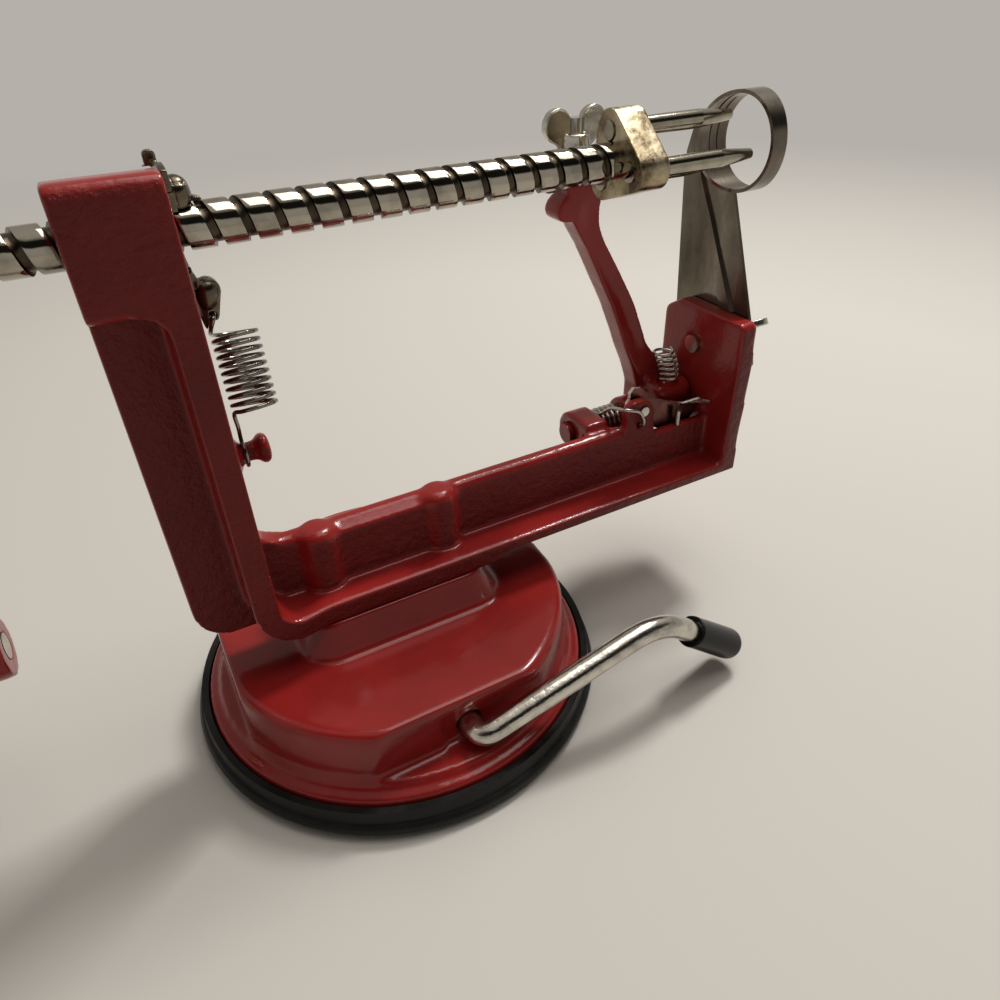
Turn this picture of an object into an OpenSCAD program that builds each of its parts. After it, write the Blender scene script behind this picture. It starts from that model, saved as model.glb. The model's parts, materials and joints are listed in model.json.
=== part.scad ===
// Hand-cranked apple peeler on a suction base.
// Origin: middle of the base on the table. X runs along the shaft from the crank to the blade.
// Y runs from front to back and Z is up.

/* [Shaft and feed] */
// Height of the shaft's axis above the table
shaft_z = 132.5; // [125:0.5:145]
// Diameter of the shaft
shaft_d = 8.6; // [8:0.1:9.4]
// Advance of the feed groove in one turn
lead = 6.35; // [6:0.05:6.8]
// Width of the feed groove along the shaft
groove_w = 1.8; // [1.7:0.05:2.1]
// Depth of the feed groove
groove_deep = 0.9; // [0.85:0.05:1.1]
// Place where the groove passes the top of the shaft, at the pawl's tooth
tooth_x = -25.8; // [-26.2:0.1:-25.4]
// Right end of the shaft, where it enters the fork hub
shaft_end_x = 69; // [66:0.5:70]
// Length of the shaft from the crank to the hub
shaft_len = 166.5; // [160:0.5:170]

/* [Fork] */
// Radius of the hub over its three rounded corners
hub_r = 12; // [11.4:0.1:12.2]
// Radius of the hub's rounded corners
hub_corner = 4.6; // [4.2:0.1:5]
// Thickness of the hub
hub_t = 9.5; // [8:0.5:11]
// Radius of the circle that the prongs stand on
prong_circle = 6.8; // [6.6:0.1:7]
// Diameter of a prong
prong_d = 4.4; // [4:0.1:4.5]
// Free length of a prong
prong_len = 28.5; // [24:0.5:30]

/* [Crank] */
// Gap from the post to the crank at the shown feed position
crank_gap = 34; // [32:1:36]
// Length of the crank from axis to axis
crank_r = 80; // [70:1:90]
// Length of the knob
knob_len = 48; // [40:1:60]
// Largest diameter of the knob
knob_d = 23; // [18:1:26]

/* [Frame] */
// Left face of the post
post_x0 = -50; // [-52:0.5:-48]
// Right face of the post
post_x1 = -31.4; // [-32:0.1:-31]
// Thickness of the cast web
web_t = 5.6; // [5:0.2:7]
// Distance from the web's middle to the front edge of the flange and rib
flange_front = 14; // [13:0.5:15]
// Distance from the web's middle to the back edge of the flange
flange_back = 10; // [8:0.5:12]
// Thickness of the flange and of the post's rib
flange_t = 5.8; // [5:0.2:6.4]
// Height of the flange's underside above the table
flange_z = 36; // [35:0.5:38]
// Height of the web's rim above the table
rim_z = 58.6; // [57:0.2:60]
// Top of the bearing block above the shaft's axis
block_up = 12.2; // [11.5:0.1:13]
// Bottom of the bearing block below the shaft's axis
block_down = 11; // [10:0.5:12]
// Depth of the bearing block behind the shaft's axis
block_back = 17; // [16.5:0.5:18]
// Left face of the right upright
upright_x = 108; // [107.5:0.5:109]
// Thickness of the right upright
upright_t = 5.5; // [5:0.5:6]
// Top of the right upright
upright_z = 86.8; // [85:0.2:88]

/* [Base] */
// Radius of the painted disc above the rubber
disc_r = 53.4; // [50:0.2:58]
// How far the rubber rim stands out past the disc
rim_over = 4; // [3:0.2:5]
// Height of the disc's edge
disc_z = 10; // [9:0.5:11]
// Width of the disc's ledge outside the housing's wall
ledge_w = 5.1; // [4.6:0.1:7]
// Height of the housing's top
top_z = 26.8; // [26:0.2:28]
// Depth of the front flat cut into the wall
front_cut = 5; // [4:0.1:6]
// Depth of the left flat cut into the wall
left_cut = 2.3; // [1:0.1:3]
// Depth of the right flat cut into the wall
right_cut = 1.1; // [0.5:0.1:3]
// Half the length of the raised pad's top along the frame
pad_x = 23.5; // [22:0.5:26]
// Half the width of the raised pad's top across the frame
pad_y = 12.8; // [11:0.2:14]
// How far the pad's sloped sides run out at its foot
pad_run = 4; // [3:0.2:5]

/* [Suction lever] */
// Place of the lever's axis along X
lever_x = 3; // [2:0.5:5]
// Height of the lever's axis
lever_z = 16; // [15.5:0.5:17]
// Diameter of the lever's rod
lever_d = 6.3; // [5.8:0.1:6.6]
// Offset of the eccentric pin
lever_ecc = 2.6; // [2:0.1:3]

/* [Blade and ring] */
// Outer radius of the coring ring
ring_r = 12.1; // [11.8:0.1:12.6]
// Wall of the ring and thickness of the blade
blade_t = 0.9; // [0.8:0.1:1]
// Length of the ring along the shaft
ring_w = 6.6; // [6:0.2:8]

/* [Arm] */
// Distance of the arm's pivot behind the web's middle
pivot_y = 11; // [10.8:0.1:11.6]
// Height of the arm's pivot
pivot_z = 54.6; // [54:0.2:55.4]
// Diameter of the pivot rod
pivot_d = 6; // [5.4:0.1:6.2]
// Thickness of the arm from front to back
arm_t = 7.5; // [7:0.5:8]
// Front of the arm behind the shaft's axis
arm_front = 13; // [12.9:0.1:13.6]

/* [Springs] */
// Wire of the latch spring
latch_wire = 0.9; // [0.8:0.05:1]
// Mean radius of the latch spring
latch_coil_r = 4.6; // [4.2:0.1:5]
// Turns of the latch spring
latch_turns = 10; // [8:1:11]
// Length of the latch spring's coils
latch_coil_len = 19; // [18:0.5:20]
// Wire of the arm's torsion spring
arm_wire = 1.1; // [1:0.1:1.2]
// Wire of the bumper spring
bumper_wire = 0.9; // [0.8:0.05:1]

/* [Fits] */
// Clearance of a running fit on the radius
run_fit = 0.08; // [0.05:0.01:0.1]
// Gap between pieces that move past each other
gap = 0.4; // [0.3:0.05:0.6]

/* [Hidden] */
$fn = 64;
rubber_r = disc_r + rim_over;
wall_r = disc_r - ledge_w;
front_flat = wall_r - front_cut;
left_flat = wall_r - left_cut;
right_flat = wall_r - right_cut;
dia_r = wall_r - 10.3;
shaft_r = shaft_d / 2;
shaft_x0 = shaft_end_x - shaft_len;
web_y0 = -web_t / 2;
web_y1 = web_t / 2;
flange_top = flange_z + flange_t;
block_z0 = shaft_z - block_down;
block_z1 = shaft_z + block_up;
upright_x1 = upright_x + upright_t;
blade_x0 = upright_x1 + 0.05;
ring_x0 = blade_x0 + blade_t - ring_w;
crank_x1 = post_x0 - crank_gap;
crank_boss = 12;
crank_x0 = crank_x1 - crank_boss;
washer_t = 2;
prong_angles = [108, -12, 228];
plate_x0 = post_x1 + gap;
plate_t = 1.4;
plate_x1 = plate_x0 + plate_t;
latch_py = 12;
latch_pz = shaft_z - 1.5;
latch_pin_d = 4;
tail_z = shaft_z - 13;
tail_y = -2.4;
tail_x = post_x1 + 3.4;
eyelet_x = tail_x - 0.4;
eyelet_z = tail_z - 6;
stud_z = 85.4;
stud_y = -4;
coil_x = plate_x1 + latch_wire / 2 + 0.15 + latch_coil_r;
bolt_y = 6.7;
bolt_z = 75.4;
bolt_d = 4;
rim_low = 54.4;
trigger_x = 83;
trigger_z = 63.2;
trigger_y0 = 0.6;
trigger_t = 1.2;
boss_r = 6.2;
boss_x0 = 84.4;
boss_x1 = upright_x - gap;
lug_x0 = 66;
lug_x1 = 73.6;
lug_r = 6.2;
rod_x0 = 62.3;
rim_end = 88;
ear_x0 = 77;
ear_x1 = 87.2;
ear_up = 8.2;
eye_x = 82.2;
eye_z = 58.8;
stud_x = 69;
head_z = 130.2;
lever_y = front_flat + 1.6 + lever_d / 2;
pin_off = lever_ecc * sqrt(0.5);
cup_z = 3;
screw_x = [-17, 16];
screw_y = -1.6;
screw_d = 5;
screw_up = 11;
screw_head = [9, 3];
column_d = 10.4;
pad_corner = [5, 9];
rib_r = 11;
corner_r = 6;
panel_out = 1.5;
rebate_z = 49;
rebate_h = 30;
rebate_in = 7;
stop_x = 97.5;
stop_y = -1.4;
stop_d = 1.8;
stop_in = 5;
stop_len = 9.4;
rivet_d = 3;
eye_d = 2.6;
stud_d = 4;
stud_in = 8;
stud_out = 10;
blade_clear = 0.4;
arm_foot_x = [92.6, 106.6];
arm_head_x = [63.4, 75];
arm_nose = [65.4, 118.4];
arm_nose_r = 4.6;
arm_left = [[90.4, 69], [87, 79], [82.4, 89.8], [77.4, 99.5], [73, 108], [69.4, 113.6]];
arm_right = [[75.6, 125], [77.2, 118.9], [82, 108.9], [87.8, 99.5], [93.4, 89.8], [98, 79], [101, 70], [104, 65]];
arm_shoulder = [64.4, 125];
arm_foot_z = 62;
trigger_top = [[80.2, 62], [80.2, 68.2], [81.4, 69.7], [83.9, 69.2], [86.8, 66.6], [90.5, 63.8], [94.1, 62],
               [100.7, 59.4], [105, 58.8]];
trigger_low = [[104.5, 55], [100, 53.6], [94, 55], [88, 58], [84, 60.4]];
trigger_end = [0.8, 59.4, 57.8];
upright_back = [[15.2, 0], [20.6, -3.4], [21.4, -5]];
upright_low = 64;
tip_len = 22.4;
tip_r = [4.4, 4.6];
tip_round = 2.8;
wing_r = [15.5, 9.5];
latch_r = [7, 11.4, 6];
latch_mouth = 4;

paint = "firebrick";
plated = "silver";
steel = "gray";
rubber = [0.12, 0.12, 0.12];

// Shared shapes

// Cylinder along X from x0 to x1
module rod_x(x0, x1, d) {
    translate([x0, 0, 0]) rotate([0, 90, 0]) cylinder(d = d, h = x1 - x0);
}

// Cylinder along Y from y0 to y1
module rod_y(y0, y1, d) {
    translate([0, y0, 0]) rotate([-90, 0, 0]) cylinder(d = d, h = y1 - y0);
}

// Outline given in X and Z, extruded from y0 to y1
module slab_y(y0, y1) {
    translate([0, y1, 0]) rotate([90, 0, 0]) linear_extrude(y1 - y0) children();
}

// Outline given in Y and Z, extruded from x0 to x1
module slab_x(x0, x1) {
    translate([x0, 0, 0]) rotate([90, 0, 90]) linear_extrude(x1 - x0) children();
}

// Points of an arc
function arc(c, r, a0, a1, n = 8) = [for (i = [0:n]) let (a = a0 + (a1 - a0) * i / n)
    [c[0] + r * cos(a), c[1] + r * sin(a)]];

// Rectangle with corners rounded in the order lower left, lower right, upper right, upper left
module round_rect(x0, z0, x1, z1, r) {
    polygon(concat(arc([x0 + r[0], z0 + r[0]], r[0], 180, 270), arc([x1 - r[1], z0 + r[1]], r[1], 270, 360),
                   arc([x1 - r[2], z1 - r[2]], r[2], 0, 90), arc([x0 + r[3], z1 - r[3]], r[3], 90, 180)));
}

// Tube of six sides swept along points
function unit(v) = v / norm(v);
function tangent(p, i) = unit(p[min(i + 1, len(p) - 1)] - p[max(i - 1, 0)]);
function side_dir(t, up) = unit(cross(t, up));
module tube(p, d, up, n = 6) {
    m = len(p);
    pts = [for (i = [0:m - 1]) let (t = tangent(p, i), u = side_dir(t, up(t)), v = cross(t, u))
        for (j = [0:n - 1]) p[i] + d / 2 * (u * cos(360 * j / n) + v * sin(360 * j / n))];
    sides = [for (i = [0:m - 2], j = [0:n - 1]) let (a = i * n + j, b = i * n + (j + 1) % n)
        each [[a, b + n, b], [a, a + n, b + n]]];
    first = [for (j = [1:n - 2]) [0, j, j + 1]];
    last = [for (j = [1:n - 2]) let (o = (m - 1) * n) [o, o + j + 1, o + j]];
    polyhedron(points = pts, faces = concat(sides, first, last));
}

// Least distance between points of one tube that lie more than skip steps apart
function self_gap(p, d, skip) = min([for (i = [0:len(p) - 1 - skip])
    min([for (j = [i + skip:len(p) - 1]) norm(p[i] - p[j])])]) - d;

// Painted frame

module web_outline() {
    round_rect(post_x0, flange_z, post_x1, block_z1 - 3, [9, 0.1, 3, 3]);
    translate([post_x1 - 1, flange_z]) square([rim_end + 1 - post_x1, rim_z - web_t / 2 - flange_z]);
    translate([post_x1 - 1, flange_z]) square([upright_x + 1 - post_x1, rim_low - flange_z]);
    difference() {
        translate([post_x1 - 1, rim_z - web_t / 2]) square([corner_r + 1, corner_r + web_t / 2]);
        translate([post_x1 + corner_r, rim_z + corner_r]) circle(r = corner_r);
    }
    round_rect(ear_x0, rim_z - 4, ear_x1, rim_z + ear_up, [0.1, 0.1, 5.4, 3.2]);
}

module rib_outline() {
    r_out = rib_r;
    r_in = r_out - flange_t;
    x0 = post_x1 - flange_t;
    difference() {
        union() {
            translate([x0, flange_z + r_out]) square([flange_t, block_z0 - flange_z - r_out + 1]);
            translate([x0 + r_out, flange_z]) square([upright_x1 - x0 - r_out, flange_t]);
            translate([x0 + r_out, flange_z + r_out]) intersection() {
                difference() {
                    circle(r = r_out);
                    circle(r = r_in);
                }
                translate([-r_out, -r_out]) square(r_out);
            }
        }
    }
}

module upright_outline() {
    back = [for (p = upright_back) [p[0], upright_z + p[1]]];
    polygon(concat([[-flange_front, flange_z], [-flange_front, flange_top + 4],
        [1.7 - flange_front, upright_z - 1.5], [3 - flange_front, upright_z]], back,
        [[upright_back[2][0], upright_low], [flange_back + 3, flange_top], [flange_back, flange_z]]));
}

// Bearing block from the side, its top falling to the back
module block_outline() {
    polygon(concat(arc([2 - flange_front, block_z0 + 2], 2, 180, 270, 4),
        arc([block_back - 4, block_z0 + 4], 4, 270, 360, 4), arc([block_back - 5, block_z1 - 9.6], 5, 0, 80, 6),
        [[-6, block_z1 - 0.5]], arc([3 - flange_front, block_z1 - 3], 3, 90, 180, 6)));
}

module frame_bores() {
    translate([0, 0, shaft_z]) rod_x(post_x0 - 1, post_x1 + 1, shaft_d + 2 * run_fit);
    translate([0, latch_py, latch_pz]) rod_x(post_x1 - 8, post_x1 + 1, latch_pin_d);
    translate([0, pivot_y, pivot_z]) rod_x(rod_x0 - 1, upright_x + 3, pivot_d);
    translate([0, bolt_y, bolt_z]) rod_x(upright_x - 1, upright_x1 + 1, bolt_d + blade_clear);
    translate([eye_x, 0, eye_z]) rod_y(web_y0 - 1, web_y1 - 1, eye_d);
    translate([trigger_x, 0, trigger_z]) rod_y(web_y0 - 1, web_y1 - 1, rivet_d);
    translate([stop_x, stop_y, rim_low - stop_in]) cylinder(d = stop_d, h = stop_in + 1);
    for (x = screw_x) translate([x, screw_y, flange_z - 1]) cylinder(d = screw_d, h = screw_up + 4);
    // Rebate behind the trigger
    translate([trigger_x - rebate_in, trigger_y0 - gap, rebate_z])
        cube([upright_x - trigger_x + rebate_in, web_t, rebate_h]);
}

module main_frame() {
    color(paint) difference() {
        union() {
            slab_y(web_y0, web_y1) web_outline();
            // Rounded rim of the web
            translate([0, 0, rim_z - web_t / 2]) rod_x(post_x1 - 1, rim_end, web_t);
            slab_y(-flange_front, flange_back) intersection() {
                rib_outline();
                translate([post_x1 - flange_t + rib_r, flange_z]) square([upright_x1 - post_x1, flange_t]);
            }
            slab_y(-flange_front, 0) rib_outline();
            // Bearing block
            slab_x(post_x0, post_x1) block_outline();
            slab_y(-flange_front, 0) difference() {
                translate([post_x1 - flange_t - 5, block_z0 - 5]) square([5.5, 5.5]);
                translate([post_x1 - flange_t - 5, block_z0 - 5]) circle(r = 5);
            }
            // Columns that take the screws from below
            for (x = screw_x) translate([x, screw_y, flange_z]) {
                cylinder(d = column_d, h = rim_z - flange_z - 1.2);
                translate([0, 0, rim_z - flange_z - 1.21]) cylinder(d1 = column_d, d2 = column_d - 4, h = 1.8);
            }
            slab_y(web_y0 - panel_out, 0) polygon([[screw_x[0], flange_z], [screw_x[1], flange_z],
                [screw_x[1], rim_z - 1.6], [screw_x[0], rim_z - 1.6]]);
            // Right upright
            slab_x(upright_x, upright_x1) upright_outline();
            // Boss and stud of the latch spring
            translate([post_x1 - 1, stud_y, stud_z]) rotate([0, 90, 0]) cylinder(d1 = 11, d2 = 5.2, h = 2.3);
            translate([0, stud_y, stud_z]) rod_x(post_x1, post_x1 + 6, 4.4);
            translate([post_x1 + 5.2, stud_y, stud_z]) rotate([0, 90, 0]) rotate_extrude()
                polygon(concat([[0, 0]], arc([2.3, 1.3], 1.3, -90, 90, 6), [[0, 2.9]]));
            // Lugs of the arm's pivot rod
            for (x = [lug_x0]) {
                translate([0, pivot_y, pivot_z]) rod_x(x, lug_x1, lug_r * 2);
                translate([x, web_y1 - 1, pivot_z - lug_r]) cube([lug_x1 - x, pivot_y - web_y1 + 1, lug_r * 2]);
            }
        }
        frame_bores();
    }
}

module frame_screws() {
    color(steel) for (x = screw_x) {
        translate([x, screw_y, flange_z - 5]) cylinder(d = screw_d, h = screw_up + 5);
        translate([x, screw_y, flange_z - 5 - screw_head[1]]) cylinder(d = screw_head[0], h = screw_head[1]);
    }
}

// Base

// Corner points of a rounded rectangle about the origin
function rounded(x, y, r) = concat(arc([x - r, y - r], r, 0, 90, 6), arc([r - x, y - r], r, 90, 180, 6),
    arc([r - x, r - y], r, 180, 270, 6), arc([x - r, r - y], r, 270, 360, 6));

// Raised pad with sloped sides from z0 up to z1
module sloped_pad(z0, z1) {
    foot = rounded(pad_x + pad_run + 1.6, pad_y + pad_run, pad_corner[1]);
    top = rounded(pad_x, pad_y, pad_corner[0]);
    n = len(top);
    pts = concat([for (p = foot) [p[0], p[1], z0]], [for (p = top) [p[0], p[1], z1]]);
    sides = [for (i = [0:n - 1]) let (j = (i + 1) % n) each [[i, i + n, j + n], [i, j + n, j]]];
    low = [for (i = [1:n - 2]) [0, i, i + 1]];
    high = [for (i = [1:n - 2]) [n, n + i + 1, n + i]];
    polyhedron(points = pts, faces = concat(sides, low, high));
}

module base_housing() {
    color(paint) difference() {
        union() {
            intersection() {
                rotate_extrude($fn = 128) polygon(concat([[0, cup_z + 0.4], [disc_r - 1, cup_z + 0.4],
                    [disc_r, cup_z + 1.4]], arc([disc_r - 1.6, disc_z - 1.6], 1.6, 0, 90, 6),
                    [[disc_r - 3, disc_z], [disc_r - 3.4, disc_z + 1.6], [wall_r + 1.6, disc_z + 2]],
                    [[wall_r + 0.8, disc_z + 3]],
                    arc([wall_r - 2.4, top_z - 2.4], 2.4, 0, 90, 6), [[0, top_z]]));
                union() {
                    translate([-disc_r - 1, -disc_r - 1, 0]) cube([2 * disc_r + 2, 2 * disc_r + 2, disc_z + 2]);
                    translate([-left_flat, -front_flat, 0])
                        cube([left_flat + right_flat, front_flat + disc_r, flange_z]);
                }
            }
            // Pad that carries the frame
            sloped_pad(top_z - 0.5, flange_z);
        }
        // Hollow for the plunger and the diaphragm
        translate([0, 0, -1]) cylinder(r = dia_r + 1, h = 9.6 + 1);
        translate([lever_x, 0, 0]) cylinder(d = 24, h = top_z - 3.4);
        // Lever bore
        translate([lever_x, 0, lever_z]) rod_y(-front_flat - 1, 0, lever_d + 2 * run_fit);
        translate([lever_x, 0, lever_z]) rod_y(-12, 12, 14);
        // Channel beside the lever
        translate([lever_x - 8, -disc_r, disc_z + 2]) cube([40, disc_r - front_flat + 1.2, 11]);
        // Screw holes and their counterbores
        for (x = screw_x) {
            translate([x, screw_y, 0]) cylinder(d = screw_d + 0.4, h = flange_z + 1);
            translate([x, screw_y, 0]) cylinder(d = screw_head[0] + 1, h = flange_z - 4.95);
        }
    }
}

module suction_ring() {
    color(rubber) rotate_extrude($fn = 128) polygon(concat([[dia_r + gap, 0], [rubber_r - 1.5, 0]],
        arc([rubber_r - 2, 3], 2, -60, 70, 6), [[disc_r + 2.2, 8.6]], [[disc_r + 0.4, 8.4]],
        [[disc_r + 0.4, cup_z], [dia_r + gap, cup_z]]));
}

module cup_diaphragm() {
    color(rubber) rotate_extrude($fn = 96) polygon([[0, 0], [dia_r, 0], [dia_r, 2.6], [14, 2.8],
        [10, 5], [0, 5]]);
}

module plunger() {
    color(steel) difference() {
        union() {
            translate([lever_x, 0, 5]) cylinder(d = 16, h = 2);
            translate([lever_x - 7, -5, 7]) cube([14, 10, lever_z - pin_off + 2.4 + gap + 2 - 7]);
        }
        translate([lever_x - 5.8, -8, lever_z - pin_off - 2.4 - gap])
            cube([11.6, 16, 4.8 + 2 * gap]);
    }
}

// Corners of the lever's rod from its axis, in X and Z
lever_hump = [53.5, 13.4];
lever_end = [66.5, 2.8];
lever_tilt = atan2(lever_hump[1] - lever_end[1], lever_end[0] - lever_hump[0]);

function bent(p, r, i) = let (a = unit(p[i - 1] - p[i]), b = unit(p[i + 1] - p[i]),
    half = acos(a * b) / 2, back = r / tan(half)) [for (k = [0:6]) let (u = k / 6)
    let (s = p[i] + a * back * (1 - u), e = p[i] + b * back * u) s * (1 - u) + e * u];

lever_path = let (y = -lever_y, p = [[lever_x, -front_flat + 3, lever_z], [lever_x, y, lever_z],
        [lever_x + lever_hump[0], y, lever_z + lever_hump[1]],
        [lever_x + lever_end[0], y, lever_z + lever_end[1]]])
    concat([p[0]], bent(p, 4.4, 1), bent(p, 20, 2), [p[3]]);

module lever_rod() {
    color(plated) {
        tube(lever_path, lever_d - 0.06, function(t) [-0.34, 0, 0.94], 20);
        translate([lever_x, 0, lever_z]) rod_y(-front_flat + 0.5, -11, lever_d);
        translate([lever_x, 0, lever_z]) rod_y(-11.5, -8.5, 12);
        translate([lever_x + pin_off, 0, lever_z - pin_off]) rod_y(-9, 6, 4.8);
    }
}

module lever_tip() {
    a = [lever_x + lever_end[0], -lever_y, lever_z + lever_end[1]];
    color(rubber) translate(a) rotate([0, 90 + lever_tilt, 0]) translate([0, 0, -1.5]) difference() {
        rotate_extrude() polygon(concat([[0, 0], [tip_r[0], 0], [tip_r[1], tip_len - tip_round - 1.6]],
            arc([tip_r[1] - tip_round, tip_len - tip_round], tip_round, 0, 90, 6), [[0, tip_len]]));
        translate([0, 0, -1]) cylinder(d = lever_d + 0.02, h = 2.52);
    }
}

// Drive

// Shaft with a right-hand groove, one closed surface with flat ends
module grooved_shaft(x0, x1, n = 24) {
    edge = 1.2;
    wall = 0.25;
    u = [0, (lead - groove_w) / lead, (lead - groove_w + wall) / lead, (lead - wall) / lead];
    rad = [shaft_r, shaft_r, shaft_r - groove_deep, shaft_r - groove_deep];
    // The groove's middle passes the top at the tooth; angles run from the top over the front
    start = tooth_x + groove_w / 2 - lead * ceil((tooth_x - x0 - edge) / lead - 1);
    turns = floor((x1 - edge - start) / lead) - 1;
    m = turns * n;
    function at(i, k) = let (a = 360 * i / n, x = start + lead * (i / n + u[k]))
        [x, -rad[k] * sin(a), rad[k] * cos(a)];
    function id(i, k) = i <= m ? i * 4 + k : (m + 1) * 4 + (i - m - 1);
    ring0 = (m + 1) * 4 + n;
    ring1 = ring0 + n;
    pts = concat([for (i = [0:m], k = [0:3]) at(i, k)], [for (i = [m + 1:m + n]) at(i, 0)],
                 [for (j = [0:n - 1]) [x0, -shaft_r * sin(360 * j / n), shaft_r * cos(360 * j / n)]],
                 [for (j = [0:n - 1]) [x1, -shaft_r * sin(360 * j / n), shaft_r * cos(360 * j / n)]]);
    strip = [for (i = [0:m - 1], k = [0:3]) let (a = id(i, k), b = id(i + 1, k),
        c = k < 3 ? id(i + 1, k + 1) : id(i + 1 + n, 0), d = k < 3 ? id(i, k + 1) : id(i + n, 0))
        each [[a, c, b], [a, d, c]]];
    left = [for (j = [0:n - 2]) let (a = ring0 + j, b = ring0 + j + 1, c = id(j + 1, 0), d = id(j, 0))
        each [[a, c, b], [a, d, c]]];
    lw = [ring0 + n - 1, id(n - 1, 0), id(n, 0), id(0, 1), id(0, 0), ring0];
    left_fan = [for (i = [1:4]) [lw[0], lw[i], lw[i + 1]]];
    left_wall = [[id(0, 1), id(n, 0), id(0, 3)], [id(0, 1), id(0, 3), id(0, 2)]];
    right = [for (j = [1:n - 1]) let (a = id(m + j, 0), b = id(m + j + 1, 0),
        c = ring1 + (j + 1) % n, d = ring1 + j) each [[a, c, b], [a, d, c]]];
    rw = [ring1 + 1, id(m + 1, 0), id(m, 0), id(m, 1), id(m + n, 0), ring1];
    right_fan = [for (i = [1:4]) [rw[0], rw[i], rw[i + 1]]];
    right_wall = [[id(m, 1), id(m, 3), id(m + n, 0)], [id(m, 1), id(m, 2), id(m, 3)]];
    cap0 = [for (j = [1:n - 2]) [ring0, ring0 + j, ring0 + j + 1]];
    cap1 = [for (j = [1:n - 2]) [ring1, ring1 + j + 1, ring1 + j]];
    polyhedron(points = pts, faces = concat(strip, left, left_fan, left_wall, right, right_fan, right_wall,
                                            cap0, cap1));
}

module drive_shaft() {
    color(plated) translate([0, 0, shaft_z]) grooved_shaft(shaft_x0, shaft_end_x);
}

// Rounded triangle with corners at the prongs
module hub_outline() {
    c = hub_r - hub_corner;
    hull() for (a = prong_angles) translate([-c * cos(a), c * sin(a)]) circle(r = hub_corner, $fn = 32);
}

module fork_hub() {
    color("tan") translate([0, 0, shaft_z]) difference() {
        slab_x(shaft_end_x, shaft_end_x + hub_t) hub_outline();
        for (a = prong_angles) translate([0, -prong_circle * cos(a), prong_circle * sin(a)])
            rod_x(shaft_end_x - 1, shaft_end_x + hub_t + 1, prong_d);
    }
}

module fork_prongs() {
    tip = 11;
    color(plated) translate([0, 0, shaft_z]) for (a = prong_angles)
        translate([shaft_end_x - 0.4, -prong_circle * cos(a), prong_circle * sin(a)]) rotate([0, 90, 0])
            rotate_extrude() polygon([[0, 0], [prong_d / 2, 0], [prong_d / 2, hub_t + prong_len - tip],
                [1.25, hub_t + prong_len - 0.8], [0.6, hub_t + prong_len], [0, hub_t + prong_len]]);
}

module stop_washer() {
    color(plated) translate([0, 0, shaft_z]) difference() {
        rod_x(crank_x1 + 0.05, crank_x1 + 0.05 + washer_t, 16);
        rod_x(crank_x1 - 1, crank_x1 + washer_t + 1, shaft_d + 2 * run_fit);
    }
}

module crank_arm() {
    color(paint) translate([0, 0, shaft_z]) difference() {
        union() {
            rod_x(crank_x0, crank_x1, 18);
            slab_x(crank_x0 + 2, crank_x0 + 9) polygon([[-7.5, 0], [7.5, 0], [5.5, -crank_r], [-5.5, -crank_r]]);
            translate([0, 0, -crank_r]) rod_x(crank_x0, crank_x0 + 9, 14);
        }
        rod_x(crank_x0 - 1, crank_x1 + 1, shaft_d);
        translate([0, 0, -crank_r]) rod_x(crank_x0 - 1, crank_x1, 6);
    }
}

module crank_nut() {
    color(plated) translate([0, 0, shaft_z]) difference() {
        translate([crank_x0 - 5.02, 0, 0]) rotate([0, 90, 0]) cylinder(d = 14, h = 5, $fn = 6);
        rod_x(shaft_x0 - 0.3, crank_x0 + 1, shaft_d + 0.1);
    }
}

module knob_spindle() {
    color(plated) translate([0, 0, shaft_z - crank_r]) {
        rod_x(crank_x0 - knob_len - 2, crank_x0 + 9, 6);
        rod_x(crank_x0 - knob_len - 4, crank_x0 - knob_len - 1.2, 10);
    }
}

module crank_knob() {
    r = knob_d / 2;
    color("black") translate([crank_x0 - 0.6, 0, shaft_z - crank_r]) rotate([0, -90, 0]) difference() {
        rotate_extrude() polygon(concat([[0, 0], [r * 0.62, 0], [r * 0.6, 4], [r * 0.78, knob_len * 0.4]],
            arc([r - 6, knob_len - 8], 6, 0, 90, 6), [[0, knob_len - 2]]));
        translate([0, 0, -1]) cylinder(d = 6 + 2 * run_fit, h = knob_len + 2);
        translate([0, 0, knob_len - 4]) cylinder(d = 11, h = 4);
    }
}

// Feed latch

module latch_outline() {
    difference() {
        union() {
            translate([0, shaft_z]) circle(r = latch_r[1]);
            translate([latch_py, latch_pz]) circle(r = latch_r[2]);
        }
        translate([0, shaft_z]) circle(r = latch_r[0]);
        translate([-latch_r[1] - 1, shaft_z - latch_r[0] - 0.5]) square([latch_r[1] - 1, 2 * latch_r[0] + 0.5]);
        translate([-latch_r[1] - 1, shaft_z - latch_r[1] - 1])
            square([latch_r[1] + 1 - latch_mouth, 2 * latch_r[1] + 2]);
    }
}

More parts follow.
